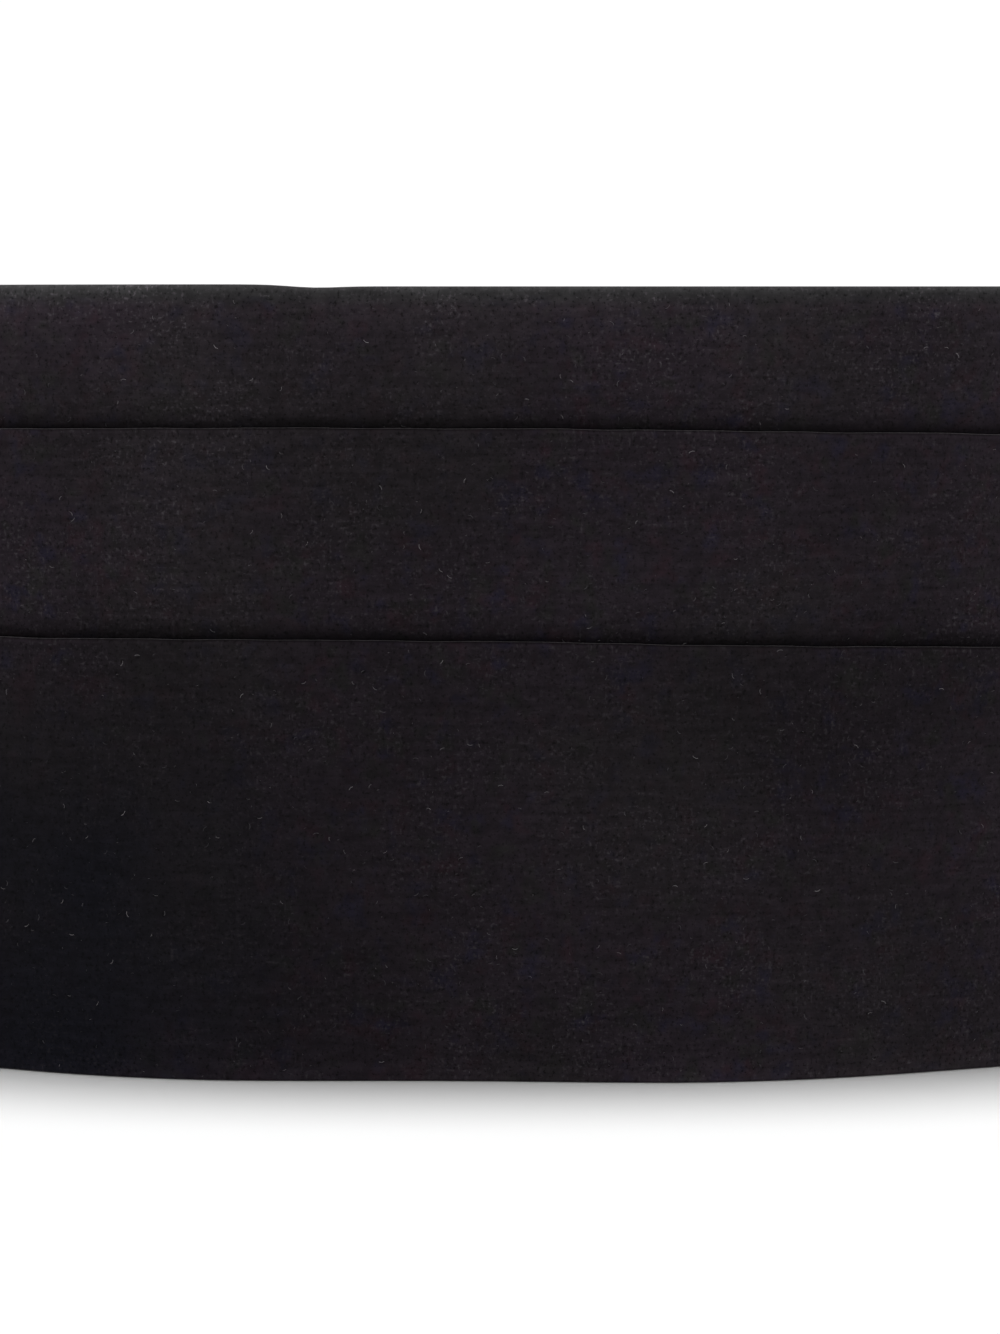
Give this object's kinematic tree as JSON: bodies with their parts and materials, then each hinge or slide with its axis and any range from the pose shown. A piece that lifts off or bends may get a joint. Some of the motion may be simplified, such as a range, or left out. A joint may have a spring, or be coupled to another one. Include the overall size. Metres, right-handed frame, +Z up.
{
  "type": "cummerbund",
  "caption": "Black cloth waist sash closed into a loop: a tall pleated front whose folds open upwards, tapered end tabs, and back straps joined by a flat slide.",
  "frame": {"origin": "on the floor under the middle of the closed loop, which stands on its lower edge", "axes": "+X to the right as seen from the front, +Y from the front to the back, +Z up along the wearer's body"},
  "size_m": [0.311, 0.2303, 0.13],
  "materials": {
    "wool_cloth": "fine black wool-like cloth, matt with a faint sheen",
    "webbing": "ribbed black webbing, matt",
    "slide_metal": "satin black enamel"
  },
  "bodies": {
    "root": {"pleated_front": "wool_cloth", "end_tab_left": "wool_cloth", "end_tab_right": "wool_cloth", "strap_left": "webbing", "strap_right": "webbing", "back_slide": "slide_metal"}
  },
  "joints": []
}
